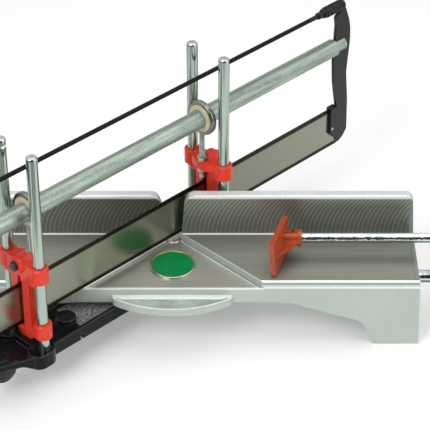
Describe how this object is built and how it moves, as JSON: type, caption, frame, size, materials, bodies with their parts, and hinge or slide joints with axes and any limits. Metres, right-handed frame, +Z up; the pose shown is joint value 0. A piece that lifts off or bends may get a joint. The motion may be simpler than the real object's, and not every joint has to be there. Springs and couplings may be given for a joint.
{
  "type": "mitre saw",
  "caption": "Hand mitre saw: long framed saw sliding through eye rings on upright columns, on a swing arm under an aluminium bed with a split fence and a sliding length stop.",
  "frame": {"origin": "centre of the four bench screw holes, at the underside of the feet", "axes": "+X along the fence to the right, +Y to the rear, +Z up; the saw is drawn swung 45 degrees to the left"},
  "size_m": [0.5457, 0.459, 0.248],
  "materials": {
    "painted_casting": "satin paint with milled faces",
    "green_plate": "glossy",
    "zinc_steel": "zinc plated",
    "washer_steel": "zinc plated",
    "black_casting": "glossy black paint",
    "bright_steel": "polished",
    "dark_screws": "black oxide",
    "lever_steel": "zinc plated",
    "spring_steel": "bare",
    "black_plastic": "satin",
    "red_plastic": "satin gloss",
    "bush_plastic": "satin",
    "galvanised_tube": "galvanised",
    "black_paint": "satin black",
    "blade_steel": "polished",
    "grey_casting": "satin paint",
    "orange_plastic": "glossy"
  },
  "bodies": {
    "bed": {"bed": "painted_casting", "round_plate": "green_plate", "pivot_bolt": "zinc_steel", "pivot_washers": "washer_steel", "pivot_nut": "zinc_steel"},
    "arm": {"swing_arm": "black_casting", "column_front_right": "bright_steel", "column_front_left": "bright_steel", "column_rear_right": "bright_steel", "column_rear_left": "bright_steel", "column_screws": "dark_screws", "index_pin": "dark_screws", "index_spring": "spring_steel"},
    "index_lever": {"index_lever": "lever_steel", "index_knob": "black_plastic"},
    "front_carriage": {"front_carriage": "red_plastic", "front_eye_ring": "bright_steel", "front_bush": "bush_plastic", "front_stud_nuts": "zinc_steel", "front_button_spring": "spring_steel"},
    "rear_carriage": {"rear_carriage": "red_plastic", "rear_eye_ring": "bright_steel", "rear_bush": "bush_plastic", "rear_stud_nuts": "zinc_steel", "rear_button_spring": "spring_steel"},
    "front_button": {"front_button": "black_plastic"},
    "rear_button": {"rear_button": "black_plastic"},
    "front_catch": {"front_catch": "lever_steel"},
    "rear_catch": {"rear_catch": "lever_steel"},
    "saw": {"saw_tube": "galvanised_tube", "front_plug": "galvanised_tube", "rear_plug": "galvanised_tube", "front_lever": "black_paint", "rear_lever": "black_paint", "lever_pins": "galvanised_tube", "handle": "black_plastic", "handle_screws": "zinc_steel", "tension_rod": "black_paint", "tension_screw": "dark_screws", "rod_nuts": "dark_screws", "blade": "blade_steel", "blade_clips": "black_paint", "blade_pins": "zinc_steel"},
    "tension_nut": {"tension_nut": "dark_screws"},
    "stop": {"stop_guide_rod": "bright_steel", "stop_rod": "bright_steel", "stop_cross_piece": "grey_casting", "stop_plate": "orange_plastic", "stop_screws": "dark_screws"},
    "clamp_screw": {"stop_clamp_screw": "black_plastic"}
  },
  "joints": [
    {"name": "arm_swing", "type": "hinge", "parent": "bed", "child": "arm", "pos_m": [0, 0.032, 0.04], "axis": [0, 0, 1], "range_deg": [0, 90]},
    {"name": "index_press", "type": "hinge", "parent": "arm", "child": "index_lever", "pos_m": [-0.09546, -0.06346, 0.0362], "axis": [0.7071, -0.7071, 0], "range_deg": [0, 2.74], "deforming": ["index_spring"]},
    {"name": "front_lift", "type": "slide", "parent": "arm", "child": "front_carriage", "axis": [0, 0, 1], "range_m": [0, 0.11]},
    {"name": "rear_lift", "type": "slide", "parent": "arm", "child": "rear_carriage", "axis": [0, 0, 1], "range_m": [0, 0.11]},
    {"name": "saw_stroke", "type": "slide", "parent": "front_carriage", "child": "saw", "axis": [-0.7071, -0.7071, 0], "range_m": [-0.115, 0.145]},
    {"name": "tension_turn", "type": "hinge", "parent": "saw", "child": "tension_nut", "pos_m": [0.14991, 0.18191, 0.2241], "axis": [-0.7071, -0.7071, 0], "continuous": true},
    {"name": "front_button_press", "type": "slide", "parent": "front_carriage", "child": "front_button", "axis": [0.7071, 0.7071, 0], "range_m": [0, 0.003], "stiffness_N_per_m": 500, "springref_m": -0.001, "deforming": ["front_button_spring"]},
    {"name": "rear_button_press", "type": "slide", "parent": "rear_carriage", "child": "rear_button", "axis": [-0.7071, -0.7071, 0], "range_m": [0, 0.003], "stiffness_N_per_m": 500, "springref_m": -0.001, "deforming": ["rear_button_spring"]},
    {"name": "front_catch_slide", "type": "slide", "parent": "front_carriage", "child": "front_catch", "axis": [0.7071, -0.7071, 0], "range_m": [0, 0.0015]},
    {"name": "rear_catch_slide", "type": "slide", "parent": "rear_carriage", "child": "rear_catch", "axis": [-0.7071, 0.7071, 0], "range_m": [0, 0.0015]},
    {"name": "stop_slide", "type": "slide", "parent": "bed", "child": "stop", "axis": [1, 0, 0], "range_m": [-0.015, 0.06]},
    {"name": "clamp_turn", "type": "hinge", "parent": "bed", "child": "clamp_screw", "pos_m": [0.211, 0, 0.03], "axis": [0, 0, 1], "range_deg": [0, 90]}
  ],
  "couplings": [
    {"joint": "rear_lift", "follows": "front_lift", "ratio": 1},
    {"joint": "front_catch_slide", "follows": "front_button_press", "ratio": 0.5},
    {"joint": "rear_catch_slide", "follows": "rear_button_press", "ratio": 0.5}
  ]
}
